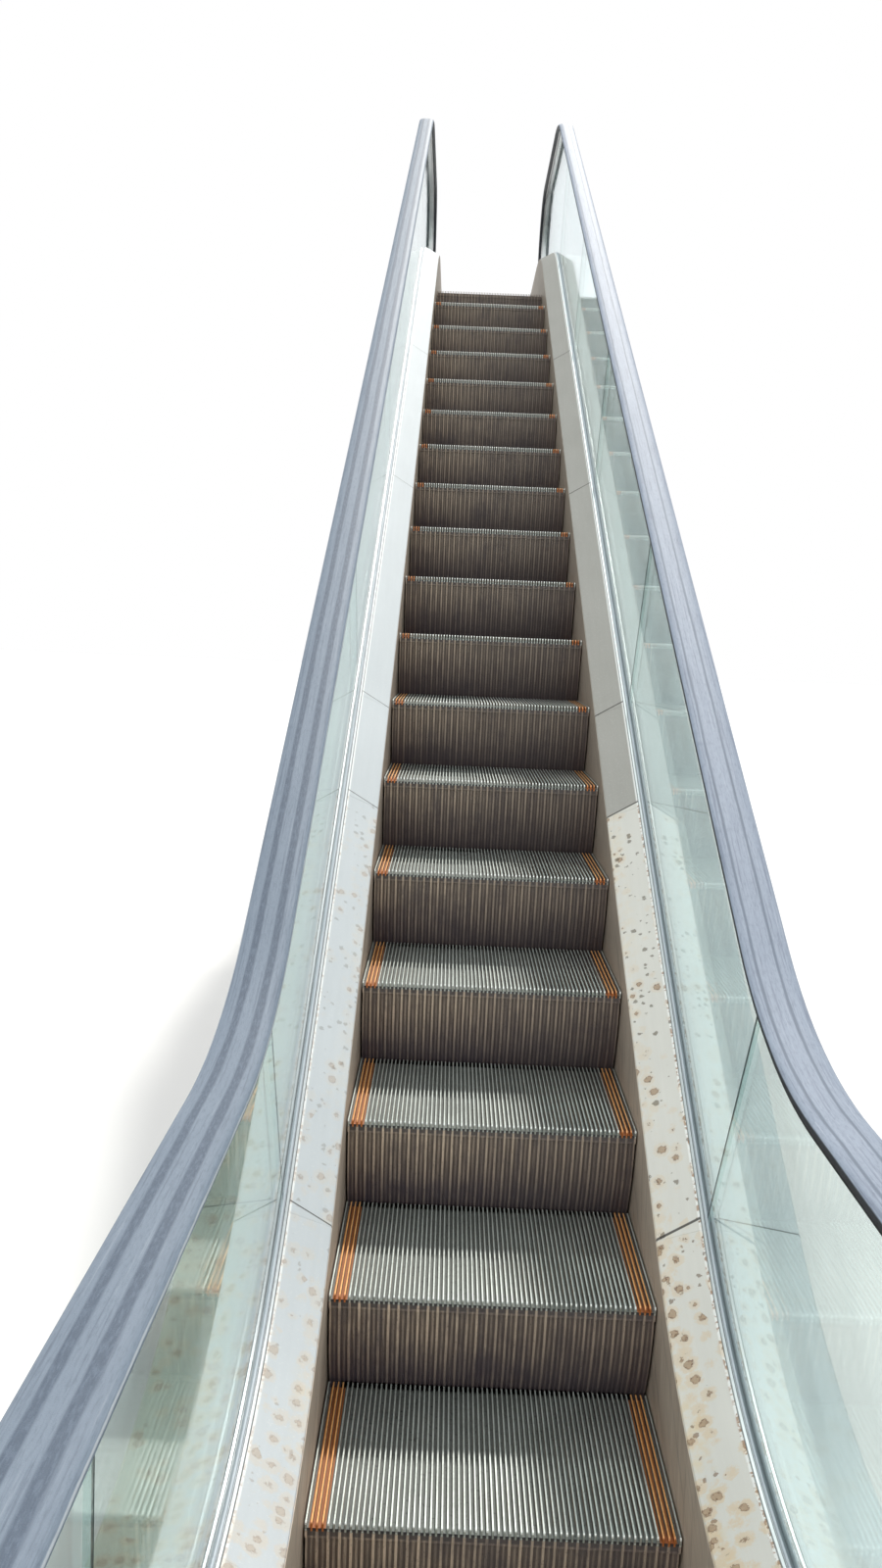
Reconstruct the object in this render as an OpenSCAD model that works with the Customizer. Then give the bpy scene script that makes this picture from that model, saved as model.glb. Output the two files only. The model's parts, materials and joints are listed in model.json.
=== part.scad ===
// Inclined escalator for one person a step, standing on the lower floor.
// +Y runs from the lower landing to the upper one, +X is to the right of a rider going up, +Z is up.
// z = 0 is the lower floor. Everything below that level is left out.

/* [Travel] */
// height between the two landings
rise = 3600; // [3400:200:4200]
// length of one step along its path
pitch = 400; // [400:1:406]
// radius of the step path where it bends
bend_r = 1500; // [1000:100:2000]
// distance from the bend's corner to the tips of the comb
comb_y = 1100; // [1000:50:1400]

/* [Width] */
// half the clear width between the skirts
skirt_x = 302; // [302:1:502]
// half the distance between the glass panels
glass_x = 400; // [390:1:620]
// half the overall width
side_x = 570; // [540:1:800]

/* [Heights] */
// tread level above the lower floor
tread_z = 46; // [40:1:80]
// top of the handrail above the nosing line
rail_v = 850; // [850:5:1000]
// top of the handrail above the landings
rail_h = 1010; // [950:5:1100]
// inner edge of the deck above the nosing line
deck_v = 60; // [30:5:120]
// inner edge of the deck above the landings
deck_h = 310; // [200:5:400]
// depth of the truss below the nosing line
truss_v = 1150; // [1000:10:1250]

/* [Ends] */
// radius of the handrail path round the newels
newel_r = 380; // [300:5:420]
// from the comb tips to the end of the balustrade base
base_l = 350; // [300:10:500]
// from the comb tips to the end of the landing
landing_l = 1300; // [1200:50:1800]

/* [Cleats] */
// from one cleat of the tread to the next
cleat = 9; // [8:0.5:10]
// depth of the grooves between the cleats
groove = 11; // [10:0.5:13]
// thickness of one comb tooth
tooth_w = 3.2; // [2.5:0.1:4]

/* [Hidden] */
gap = 0.4;
climb_joints = [2290, 3640, 4980];
deck_joints = concat([1870], climb_joints);
side_joints = [-100, 900, 1926, 3200, 4500, 5800, 7100];
roller = [100, -212];
roller_r = 38;
track_t = 14;
chord_v = 60;
chord_h = 70;
posts = [for (i = [0:5]) 1700 + 990 * i];
low_post = 900;
cleat_n = floor((skirt_x - 4) / cleat);
step_x = cleat_n * cleat + 1.5;
segment_teeth = 22;
rib = 20;
ta = tan(30);
T0 = tread_z;
T1 = tread_z + rise;
F0 = T0 + 14;
F1 = T1 + 14;
Wy = rise / ta;
tl = bend_r * tan(15);
arc_l = bend_r * PI / 6;
inc_l = (rise - 2 * bend_r * (1 - cos(30))) / sin(30);
low_base = -comb_y - base_l;
high_base = Wy + comb_y + base_l;
low_end = -comb_y - landing_l;
high_end = Wy + comb_y + landing_l;
plate_t = 8;
soffit_y = (truss_v - T0 + plate_t) / ta;
soffit_z = F1 - truss_v;
pv = rail_v - 12;
ph = rail_h - 12;
rail_r = 900;

// Points of an arc in the side plane, from angle a to angle b.
function arc_pts(cy, cz, r, a, b, n) = [for (i = [0:n]) [cy + r * cos(a + (b - a) * i / n), cz + r * sin(a + (b - a) * i / n)]];

// Corner points of a line that runs level, climbs at 30 degrees and runs level again.
// v is its height above the nosing line on the climb, hl and hu its heights over the two landings.
function low_corner(v, hl) = [(hl - v) / ta, T0 + hl];
function high_corner(v, hu) = [(rise + hu - v) / ta, T1 + hu];

// Outline points of that line from ya to yb with bends of radius rl and ru.
function line_pts(v, hl, hu, rl, ru, ya, yb, n = 16) =
    let (a = low_corner(v, hl), b = high_corner(v, hu), ka = rl * tan(15), kb = ru * tan(15))
    concat([[ya, T0 + hl]],
           arc_pts(a[0] - ka, a[1] + rl, rl, -90, -60, n),
           arc_pts(b[0] + kb, b[1] - ru, ru, 120, 90, n),
           [[yb, T1 + hu]]);

function back(p) = [for (i = [len(p) - 1:-1:0]) p[i]];

// Place of the nosing of step i, counted from the first one on the climb.
function nose(i) =
    let (s = arc_l + pitch * i)
    s < 0 ? [-tl + s, T0]
    : s < arc_l ? [-tl + bend_r * sin(s / arc_l * 30), T0 + bend_r * (1 - cos(s / arc_l * 30))]
    : s < arc_l + inc_l ? [-tl + bend_r / 2 + (s - arc_l) * cos(30), T0 + bend_r * (1 - cos(30)) + (s - arc_l) / 2]
    : s < 2 * arc_l + inc_l ?
        let (t = 30 - (s - arc_l - inc_l) / arc_l * 30)
        [Wy + tl - bend_r * sin(t), T1 - bend_r * (1 - cos(t))]
    : [Wy + tl + s - 2 * arc_l - inc_l, T1];

// Push a side outline out along X from x0 to x1.
module slab(x0, x1) {
    translate([min(x0, x1), 0, 0]) rotate([90, 0, 90]) linear_extrude(abs(x1 - x0)) children();
}

module box(a, b) {
    translate([min(a[0], b[0]), min(a[1], b[1]), min(a[2], b[2])])
        cube([abs(b[0] - a[0]), abs(b[1] - a[1]), abs(b[2] - a[2])]);
}

// Carry a cross section (X, height off the line) from p along the direction a for l.
// Each end stops short by gap, which leaves the joint between two sections.
module go(p, a, l) {
    translate([0, p[0] + (l - gap) * cos(a), p[1] + (l - gap) * sin(a)]) rotate([a, 0, 0]) rotate([90, 0, 0])
        linear_extrude(l - 2 * gap) children();
}

// Turn it left (up for a line towards +Y) from direction a by t about c.
module turn_left(c, r, a, t) {
    translate([0, c[0], c[1]]) rotate([90, 0, 90]) rotate([0, 0, a - 90])
        rotate_extrude(angle = t, $fn = 360) translate([r, 0]) rotate(90) children();
}

// Turn it right from direction a by t about c.
module turn_right(c, r, a, t) {
    translate([0, c[0], c[1]]) rotate([90, 0, 90]) rotate([0, 0, a + 90 - t])
        rotate_extrude(angle = t, $fn = 360) translate([r, 0]) mirror([0, 1]) rotate(-90) children();
}

// Carry a section along a line that is level, climbs and is level again, with more joints on the climb.
module along(v, hl, hu, rl, ru, ya, yb, joints = []) {
    a = low_corner(v, hl);
    b = high_corner(v, hu);
    ka = rl * tan(15);
    kb = ru * tan(15);
    p = [a[0] + ka * cos(30), a[1] + ka * sin(30)];
    q = [b[0] - kb * cos(30), b[1] - kb * sin(30)];
    go([ya, a[1]], 0, a[0] - ka - ya) children();
    turn_left([a[0] - ka, a[1] + rl], rl, 0, 30) children();
    cuts = concat([p[0]], joints, [q[0]]);
    for (i = [1:len(cuts) - 1])
        go(p + (cuts[i - 1] - p[0]) * [1, ta], 30, (cuts[i] - cuts[i - 1]) / cos(30)) children();
    turn_right([b[0] + kb, b[1] - ru], ru, 30, 30) children();
    go([b[0] + kb, b[1]], 0, yb - b[0] - kb) children();
}

// Push an outline seen from the front (X, Z) along Y from y0 to y1.
module across(y0, y1) {
    translate([0, max(y0, y1), 0]) rotate([90, 0, 0]) linear_extrude(abs(y1 - y0)) children();
}

// Landings.
// Front outline of a plate with shallow grooves in its top, which run along Y.
function grooved(x0, x1, z0, z1) =
    let (n = floor((x1 - x0 - 12) / rib), a = (x0 + x1 - rib * (n - 1)) / 2)
    concat([[x0, z0], [x1, z0], [x1, z1]],
           [for (i = [n - 1:-1:0]) each [[a + rib * i + 4, z1], [a + rib * i + 3, z1 - 2.5],
                                         [a + rib * i - 3, z1 - 2.5], [a + rib * i - 4, z1]]],
           [[x0, z1]]);

module sole_plate() {
    color("#5a5f63") box([-side_x + 6, low_end, 0], [side_x - 6, soffit_y, plate_t]);
}

module floor_frame(y0, y1, z0, z1) {
    difference() {
        box([-side_x, y0, z0], [side_x, y1, z1]);
        box([-side_x + 8, y0 + 8, z0 - 1], [side_x - 8, y1 - 8, z1 + 1]);
    }
}

module lower_floor_frame() {
    color("#8a8d8f") difference() {
        floor_frame(low_end, low_base - 2, plate_t, F0);
        box([-skirt_x, low_base - 20, 0], [skirt_x, low_base, F0 + 1]);
    }
}

// Two floor plates side by side between ya and yb.
module floor_plates(ya, ym, yb, z0, z1) {
    across(ya, ym - 1.5) polygon(grooved(-side_x + 10, side_x - 10, z0, z1));
    across(ym + 1.5, yb) polygon(grooved(-side_x + 10, side_x - 10, z0, z1));
}

module lower_floor_plate() {
    color("#a5a8aa") floor_plates(low_end + 10, low_end + 470, low_base - 12, plate_t, F0);
}

module lower_comb_plate() {
    color("#b4b7b8") {
        across(low_base - 11, -comb_y - 70) polygon(grooved(-skirt_x + 2, skirt_x - 2, T0 + 2, F0));
        box([-skirt_x + 4, low_base - 9, plate_t], [skirt_x - 4, -comb_y - 130, T0 + 3]);
    }
}

// Comb segments with their tips at y = 0, pointing away from the landing, which lies towards s.
// Each tooth reaches down into one groove of the tread.
module comb_set(s) {
    for (k = [0:round(2 * cleat_n / segment_teeth) - 1])
        translate([cleat * (segment_teeth * k - cleat_n), 0, 0]) {
            slab(0.2, segment_teeth * cleat - 0.2)
                polygon([[s * 40, 1.5], [s * 43, 7], [s * 57, 14], [s * 69.5, 14], [s * 69.5, 1.5]]);
            for (j = [0:segment_teeth - 1])
                slab((j + 0.5) * cleat - tooth_w / 2, (j + 0.5) * cleat + tooth_w / 2)
                    polygon([[0, -6.5], [s * 46, 10.5], [s * 60, -6.5]]);
        }
}

module lower_comb() {
    color("#c9a21a") translate([0, -comb_y, T0]) comb_set(-1);
}

module upper_floor_frame() {
    color("#8a8d8f") difference() {
        floor_frame(high_base + 2, high_end, T1 - 40, F1);
        box([-skirt_x, high_base, T1 - 41], [skirt_x, high_base + 20, F1 + 1]);
    }
}

module upper_floor_plate() {
    color("#a5a8aa") floor_plates(high_base + 12, high_end - 470, high_end - 10, T1 - 40, F1);
}

module upper_comb_plate() {
    color("#b4b7b8") {
        across(Wy + comb_y + 70, high_base + 11) polygon(grooved(-skirt_x + 2, skirt_x - 2, T1 + 2, F1));
        box([-skirt_x + 4, Wy + comb_y + 160, T1 - 40], [skirt_x - 4, high_base + 9, T1 + 3]);
    }
}

module upper_comb() {
    color("#c9a21a") translate([0, Wy + comb_y, T1]) comb_set(1);
}

// Cleated tread of one step, with the nosing at the origin.
module tread() {
    across(1, pitch - 4)
        polygon(concat([[-step_x, -28], [step_x, -28]],
                       [for (i = [cleat_n:-1:-cleat_n]) each [[i * cleat + 1.5, -groove], [i * cleat + 1.3, 0],
                                                              [i * cleat - 1.3, 0], [i * cleat - 1.5, -groove]]]));
}

// Riser with a ridge under every second cleat. It is bent round the back edge of its own tread,
// so that the step in front can rise past it.
module riser() {
    translate([0, pitch, 0]) rotate([90, 0, 90]) rotate([0, 0, 183.3])
        rotate_extrude(angle = 28.2, $fn = 360)
            polygon(concat([[pitch - 11, 0.9 - step_x], [pitch - 4.8, 0.9 - step_x]],
                           [for (i = [2 - cleat_n:2:cleat_n - 2])
                               each [[pitch - 4.8, i * cleat - 2], [pitch - 0.8, i * cleat - 2],
                                     [pitch - 0.8, i * cleat + 2], [pitch - 4.8, i * cleat + 2]]],
                           [[pitch - 4.8, step_x - 0.9], [pitch - 11, step_x - 0.9]]));
}

module step_body() {
    tread();
    riser();
    for (s = [-1, 1]) {
        slab(s * 276, s * 284)
            polygon(concat([[380, -60], [130, -236], [88, -236]], arc_pts(pitch, 0, pitch - 7.5, 211, 184, 9), [[30, -20], [380, -20]]));
        translate([s * 276, roller[0], roller[1]]) rotate([0, s * 90, 0]) cylinder(h = 20, r = roller_r, $fn = 48);
    }
}

// Steps near the ground are cut off at the sole plate, and on the level only their treads show.
module step_at(i) {
    p = nose(i);
    if (p[1] > T0 + 260)
        translate([0, p[0], p[1]]) step_body();
    else if (p[1] > T0 + 10)
        intersection() {
            translate([0, p[0], p[1]]) step_body();
            box([-400, p[0] - 10, plate_t], [400, p[0] + 500, p[1] + 10]);
        }
    else
        translate([0, p[0], T0]) {
            tread();
            for (s = [-1, 1]) box([s * 276, 20, plate_t - T0], [s * 284, 380, -27]);
        }
}

module steps(a) {
    color("#9a9c9d") for (i = [a:a + 2]) step_at(i);
}

// Rail under the rollers of the steps, its top one roller radius under their centres.
module step_track(s) {
    c = [Wy + tl, T1 - bend_r] + roller;
    y0 = nose(1)[0];
    low = [y0, T0 + (y0 + tl - bend_r / 2) * ta + bend_r * (1 - cos(30))] + roller + roller_r * [sin(30), -cos(30)];
    top = concat([low], arc_pts(c[0], c[1], bend_r - roller_r, 120, 90, 20), [[high_end - 500, c[1] + bend_r - roller_r]]);
    color("#6b6f72") slab(s * 272, s * 300) polygon(concat(top, [for (p = back(top)) p - [0, track_t]]));
}

// Balustrades.
// Upright joints, w wide, cut through whatever stands at x between x0 and x1.
module joints(x0, x1, ys, w) {
    for (y = ys) box([x0, y - w / 2, -10], [x1, y + w / 2, T1 + 1000]);
}

module skirt(s) {
    top = line_pts(deck_v - 2, deck_h - 2, deck_h - 2, 1400, 1400, low_base, high_base);
    bot = line_pts(-330, -T0 + plate_t, -330, 1500, 1500, low_base, high_base);
    color("#a08a6c") difference() {
        slab(s * skirt_x, s * (skirt_x + 3)) polygon(concat(top, back(bot)));
        joints(s * (skirt_x - 1), s * (skirt_x + 4), concat([-160, 770], climb_joints, [6340, 7060]), 0.8);
    }
}

// Section of the inner deck: it rises towards the glass.
module deck_section(s) {
    polygon([[s * (skirt_x + 0.5), -2], [s * (skirt_x + 2), 1], [s * (glass_x - 18), 41], [s * (glass_x - 18), 20],
             [s * (glass_x - 20), 20], [s * (glass_x - 20), 38], [s * (skirt_x + 6), 0.5],
             [s * (skirt_x + 6), -18], [s * (skirt_x + 3), -18], [s * (skirt_x + 3), -2]]);
}

module inner_deck(s) {
    color("#cbbb9d") along(deck_v, deck_h, deck_h, 1400, 1400, low_base, high_base, deck_joints) deck_section(s);
}

// Clamping channel that holds the foot of the glass between two lips.
module glass_channel(s) {
    half = [[0, -40], [18, -40], [18, 39], [16, 42], [12, 42], [11, 40], [9.5, 40], [8, 43], [5, 43], [5, -20], [0, -20]];
    color("#8f9496") along(deck_v, deck_h, deck_h, 1400, 1400, low_base, high_base)
        translate([s * glass_x, 0]) polygon(concat(half, [for (p = back([for (i = [1:9]) half[i]])) [-p[0], p[1]]]));
}

// Glass: the climb, the two round newels and the edge inside the channel.
// The joints stand square to the climb.
module glass(s) {
    r = newel_r - 24;
    a = low_corner(pv, ph);
    b = high_corner(pv, ph);
    k = rail_r * tan(15);
    top = concat(
        arc_pts(low_base, T0 + ph - newel_r, r, 270, 90, 24),
        arc_pts(a[0] - k, a[1] + rail_r, rail_r + 24, -90, -60, 16),
        arc_pts(b[0] + k, b[1] - rail_r, rail_r - 24, 120, 90, 16),
        arc_pts(high_base, T1 + ph - newel_r, r, 90, -90, 24));
    bot = line_pts(deck_v - 18, deck_h - 18, deck_h - 18, 1400, 1400, low_base, high_base);
    color("#b7cfc8", 0.4) difference() {
        slab(s * glass_x - 5, s * glass_x + 5) polygon(concat(top, back(bot)));
        joints(s * glass_x - 6, s * glass_x + 6, [-560, 7200], 3);
        for (y = concat([780], climb_joints, [6320]))
            translate([0, y, T0 + deck_v + y * ta]) rotate([30, 0, 0])
                box([s * glass_x - 6, -1.5, -100], [s * glass_x + 6, 1.5, 1100]);
    }
}

// Closed loop that the handrail runs on, as points with a direction: [y, z, angle].
function loop_arc(c, r, a, t, n) =
    [for (i = [0:n]) let (d = a + t * i / n, e = t > 0 ? d - 90 : d + 90) [c[0] + r * cos(e), c[1] + r * sin(e), d]];

function rail_loop() =
    let (a = low_corner(pv, ph), b = high_corner(pv, ph), d = 2 * newel_r,
         ca = [a[0] - rail_r * tan(15), a[1] + rail_r], cb = [b[0] + rail_r * tan(15), b[1] - rail_r])
    concat(loop_arc(ca, rail_r, 0, 30, 4),
           loop_arc(cb, rail_r, 30, -30, 4),
           loop_arc([high_base, b[1] - newel_r], newel_r, 0, -180, 16),
           loop_arc(cb, rail_r - d, -180, 30, 3),
           loop_arc(ca, rail_r + d, -150, -30, 4),
           loop_arc([low_base, a[1] - newel_r], newel_r, -180, -180, 16));

// Outline of the handrail: X and height off the loop.
rail_section = [[-30, 12], [30, 12], [40, 1], [35, -17], [21, -17], [31, -9], [31, 2],
                [-31, 2], [-31, -9], [-21, -17], [-35, -17], [-40, 1]];

module handrail(s) {
    loop = rail_loop();
    n = len(loop);
    m = len(rail_section);
    points = [for (q = loop) for (p = rail_section) [s * glass_x + p[0], q[0] - p[1] * sin(q[2]), q[1] + p[1] * cos(q[2])]];
    sides = [for (i = [0:n - 1]) for (j = [0:m - 1])
        let (k = (i + 1) % n, l = (j + 1) % m)
        [i * m + j, k * m + j, k * m + l, i * m + l]];
    color("#77757f") polyhedron(points, sides);
}

// Rail that the handrail slides on, clamped over the edge of the glass.
module guide_section(s) {
    translate([s * glass_x, 0]) difference() {
        union() {
            translate([-30, -7]) square([60, 7]);
            translate([-14, -34]) square([28, 28]);
        }
        translate([-5, -35]) square([10, 11]);
    }
}

module handrail_guide(s) {
    a = low_corner(pv, ph);
    b = high_corner(pv, ph);
    k = rail_r * tan(15);
    ca = [a[0] - k, a[1] + rail_r];
    cb = [b[0] + k, b[1] - rail_r];
    p = ca + rail_r * [cos(-60), sin(-60)];
    q = cb + rail_r * [cos(120), sin(120)];
    color("#b9bcbe") {
        go([low_base, a[1]], 0, ca[0] - low_base) guide_section(s);
        turn_left(ca, rail_r, 0, 30) guide_section(s);
        go(p, 30, norm(q - p)) guide_section(s);
        turn_right(cb, rail_r, 30, 30) guide_section(s);
        go([cb[0], b[1]], 0, high_base - cb[0]) guide_section(s);
        for (i = [0:2]) {
            turn_right([high_base, b[1] - newel_r], newel_r, -60 * i, 59.8) guide_section(s);
            turn_right([low_base, a[1] - newel_r], newel_r, 180 - 60 * i, 59.8) guide_section(s);
        }
    }
}

module outer_deck(s) {
    color("#b3a78f") along(deck_v, deck_h, deck_h, 1400, 1400, low_base, high_base)
        polygon([[s * (glass_x + 18), 38], [s * (glass_x + 18), 41], [s * (side_x - 4), 20], [s * side_x, 16],
                 [s * side_x, -20], [s * (side_x - 3), -20], [s * (side_x - 3), 14], [s * (side_x - 6), 17]]);
}

// Outer form of the moulded cover at the foot of a newel, drawn in by g for its hollow.
// It starts at y0 and bulges out towards e. f is the floor it stands on and h the height of the deck.
module cap_form(s, y0, e, f, h, g) {
    r = 60 - g;
    intersection() {
        across(y0 - e * g, y0 + e * 70)
            polygon([[s * (skirt_x + g), f], [s * (side_x - g), f], [s * (side_x - g), h + 18 - g],
                     [s * (glass_x + 18), h + 43 - g], [s * (glass_x - 18), h + 43 - g], [s * (skirt_x + g), h + 3 - g]]);
        slab(s * (skirt_x - 5), s * (side_x + 5))
            polygon(concat([[y0 - e * g, h - 14 + r], [y0 - e * g, f], [y0 + e * r, f]],
                           [for (a = [0:5:90]) [y0 + e * r * cos(a), h - 14 + r * sin(a)]]));
    }
}

// Cover with its inlet, where the handrail runs back inside, and the slit that the glass stands in.
module end_cap(s, y0, e, f, t) {
    h = t + deck_h;
    z = t + ph - 2 * newel_r;
    x = s * glass_x;
    difference() {
        union() {
            cap_form(s, y0, e, f, h, 0);
            box([x - 53, y0 + e * 52, z - 28], [x + 53, y0 + e * 68, z + 48]);
        }
        translate([0, 0, -1]) cap_form(s, y0, e, f, h - 2, 3);
        box([x - 43, y0 + e * 40, z - 17], [x + 43, y0 + e * 75, z + 22]);
        box([x - 33, y0 + e * 39, z + 20], [x + 33, y0 + e * 76, z + 38]);
        box([x - 7, y0 - e * 5, z + 30], [x + 7, y0 + e * 77, h + 60]);
    }
}

module end_caps_lower() {
    color("#3a3b3d") for (s = [-1, 1]) end_cap(s, low_base, -1, F0, T0);
}

module end_caps_upper() {
    color("#3a3b3d") for (s = [-1, 1]) end_cap(s, high_base, 1, F1, T1);
}

// Enclosure of the truss.
module side_cladding(s) {
    top = line_pts(deck_v - 4, deck_h - 4, deck_h - 4, 1400, 1400, low_base, high_base);
    color("#9aa0a3") difference() {
        slab(s * (side_x - 3), s * (side_x - 5))
            polygon(concat(top, [[high_base, T1 - 40], [high_end, T1 - 40], [high_end, soffit_z], [Wy, soffit_z],
                                 [soffit_y, plate_t], [low_base, plate_t]]));
        joints(s * (side_x - 2), s * (side_x - 6), concat(side_joints, [high_base]), 3);
    }
}

module soffit() {
    x = side_x - 6;
    color("#888d90") {
        slab(-x, x) polygon([[soffit_y, plate_t], [Wy - 4, soffit_z - 4 * ta], [Wy - 10, soffit_z - 4 * ta], [soffit_y - 6, plate_t]]);
        slab(-x, x) polygon([[Wy, soffit_z], [high_end, soffit_z], [high_end, soffit_z + 3], [Wy - 0.8, soffit_z + 3]]);
    }
}

// Place of a point in the side plane from its distance u up the climb and w off the top chord.
function on_climb(u, w) = [u * cos(30) - w * sin(30), T0 - chord_v + u * sin(30) + w * cos(30)];

// Side of the truss: one plate cut out between chords, posts and diagonals, with a flange on each chord,
// and the brackets that carry the glass channel.
module truss(s) {
    y0 = low_base + 10;
    y1 = high_end - 10;
    deep = (truss_v - chord_v - 6 * ta) * cos(30);
    level = plate_t - T0 + 240;
    bay = posts[1] - posts[0];
    x0 = s * (side_x - 14);
    x1 = s * (side_x - 6);
    top = line_pts(-chord_v, level, -40, 1200, 1200, y0, y1);
    under = line_pts(-chord_v - 9, level - 8, -48, 1200, 1200, y0, y1);
    bottom = [[y0, plate_t], [soffit_y - 6, plate_t], [Wy - 0.8, soffit_z + 3], [y1, soffit_z + 3]];
    color("#55595c") {
        slab(x0, x1) difference() {
            polygon(concat(top, back(bottom)));
            difference() {
                polygon([[480, 78], [1600, 78], [1600, 800], [480, 178]]);
                translate(on_climb(low_post, 0)) rotate(30) translate([-30, -700]) square([60, 800]);
            }
            for (u = [for (i = [0:4]) posts[i]]) difference() {
                translate(on_climb(u, 0)) rotate(30) translate([30, chord_h - deep]) square([bay - 60, deep - 2 * chord_h]);
                translate(on_climb(u, -deep)) rotate(30 + atan(deep / bay)) translate([-200, -25]) square([1800, 50]);
            }
            for (y = [[6500, 6870], [6930, 7870], [7930, 8560]])
                translate([y[0], soffit_z + 3 + chord_h]) square([y[1] - y[0], T1 - 40 - soffit_z - 3 - 2 * chord_h]);
        }
        slab(s * (side_x - 76), x0) polygon(concat(top, back(under)));
        slab(s * (side_x - 76), x0)
            polygon(concat(bottom, [[y1, soffit_z + 11], [Wy - 3, soffit_z + 11], [soffit_y - 8, plate_t + 8], [y0, plate_t + 8]]));
        for (u = concat([low_post], posts))
            translate([0, on_climb(u, 0)[0], on_climb(u, 0)[1]]) rotate([30, 0, 0]) bracket(s, (chord_v + deck_v) * cos(30) - 40);
        for (y = [-1300, -300]) translate([0, y, T0 + level]) bracket(s, deck_h - level - 40);
        for (y = [6930, 7600]) translate([0, y, T1 - 40]) bracket(s, deck_h);
    }
}

// Bracket let into the top chord, up to the underside of the glass channel, h above the chord.
module bracket(s, h) {
    across(-4, 4) polygon([[s * (glass_x - 16), h], [s * (side_x - 8), h], [s * (side_x - 8), -4], [s * (side_x - 70), -4],
                           [s * (side_x - 70), h - 14], [s * (glass_x - 16), h - 14]]);
}

// Square tubes across the truss. They carry the step tracks and the upper comb plate.
module cross_members() {
    x = side_x - 14;
    w = (roller[1] - roller[0] * ta + chord_v - track_t) * cos(30) - roller_r;
    z = T1 + roller[1] - roller_r - track_t;
    color("#55595c") {
        for (u = concat([low_post], posts))
            translate([0, on_climb(u, w)[0], on_climb(u, w)[1]]) rotate([30, 0, 0]) box([-x, -30, -60], [x, 30, 0]);
        for (y = [6900, 7900]) box([-x, y - 30, z - 60], [x, y + 30, z]);
        box([-x, high_base - 75, T1 - 100], [x, high_base - 15, T1 - 40]);
    }
}

module upper_end_plate() {
    color("#55595c") box([-side_x + 6, high_end - 10, soffit_z + 3], [side_x - 6, high_end, T1 - 40]);
}

// Angle that rests on the edge of the upper floor.
module bearing_bracket() {
    color("#55595c") {
        box([-side_x + 40, high_end, F1 - 60], [side_x - 40, high_end + 160, F1 - 44]);
        box([-side_x + 40, high_end, F1 - 260], [side_x - 40, high_end + 16, F1 - 60]);
    }
}

sole_plate();
lower_floor_frame();
lower_floor_plate();
lower_comb_plate();
lower_comb();
upper_floor_frame();
upper_floor_plate();
upper_comb_plate();
upper_comb();
steps(-4);  // steps_01_to_03
steps(-1);  // steps_04_to_06
steps(2);  // steps_07_to_09
steps(5);  // steps_10_to_12
steps(8);  // steps_13_to_15
steps(11);  // steps_16_to_18
steps(14);  // steps_19_to_21
steps(17);  // steps_22_to_24
step_track(-1);  // step_track_left
step_track(1);  // step_track_right
skirt(-1);  // skirt_left
skirt(1);  // skirt_right
inner_deck(-1);  // inner_deck_left
inner_deck(1);  // inner_deck_right
glass_channel(-1);  // glass_channel_left
glass_channel(1);  // glass_channel_right
glass(-1);  // glass_left
glass(1);  // glass_right
handrail_guide(-1);  // handrail_guide_left
handrail_guide(1);  // handrail_guide_right
handrail(-1);  // handrail_left
handrail(1);  // handrail_right
outer_deck(-1);  // outer_deck_left
outer_deck(1);  // outer_deck_right
end_caps_lower();
end_caps_upper();
side_cladding(-1);  // side_cladding_left
side_cladding(1);  // side_cladding_right
soffit();
truss(-1);  // truss_left
truss(1);  // truss_right
cross_members();
upper_end_plate();
bearing_bracket();
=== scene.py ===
import json
import math

import bpy
import numpy as np
from mathutils import Matrix, Vector


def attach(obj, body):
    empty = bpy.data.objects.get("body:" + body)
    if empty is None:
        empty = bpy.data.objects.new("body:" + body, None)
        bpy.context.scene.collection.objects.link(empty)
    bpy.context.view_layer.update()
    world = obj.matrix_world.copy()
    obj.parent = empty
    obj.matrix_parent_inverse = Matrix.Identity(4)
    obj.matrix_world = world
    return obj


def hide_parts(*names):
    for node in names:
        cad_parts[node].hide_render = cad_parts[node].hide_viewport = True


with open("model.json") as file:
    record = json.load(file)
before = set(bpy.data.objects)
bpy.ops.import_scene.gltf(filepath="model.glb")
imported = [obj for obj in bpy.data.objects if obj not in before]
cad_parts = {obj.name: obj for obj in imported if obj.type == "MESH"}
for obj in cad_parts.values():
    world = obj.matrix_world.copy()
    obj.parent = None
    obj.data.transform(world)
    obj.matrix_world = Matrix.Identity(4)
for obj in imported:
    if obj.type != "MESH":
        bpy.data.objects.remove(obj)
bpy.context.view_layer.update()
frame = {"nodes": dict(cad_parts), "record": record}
nodes = frame["nodes"]

# Sizes of the escalator, in metres, as its solids have them
TILT = math.radians(30)
SLOPE = math.tan(TILT)
RISE = 3.6
PITCH = 0.4
BEND = 1.5
STEP_BOTTOM = 0.046
STEP_TOP = STEP_BOTTOM + RISE
RUN = RISE / SLOPE
CLEAT = 0.009
CLEATS = 33
ORANGE_X = 0.279
ORANGE_HALF = 0.0133
TEETH_END = 0.0155
GLASS_X = 0.4
GLASS_CORNER = 0.3965
DECK_JOINTS = (0.76, 1.87, 2.29, 3.64, 4.98)
RUST_END = DECK_JOINTS[1]
PANEL_FACE = 0.567
RAIL_CLIMB = 0.838
RAIL_LEVEL = 0.998
NEWEL = 0.38
RAIL_BEND = 0.9
BASE_LOW = -1.45
BASE_HIGH = RUN + 1.45
ARC = BEND * TILT
CLIMB = (RISE - 2 * BEND * (1 - math.cos(TILT))) / math.sin(TILT)


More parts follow.
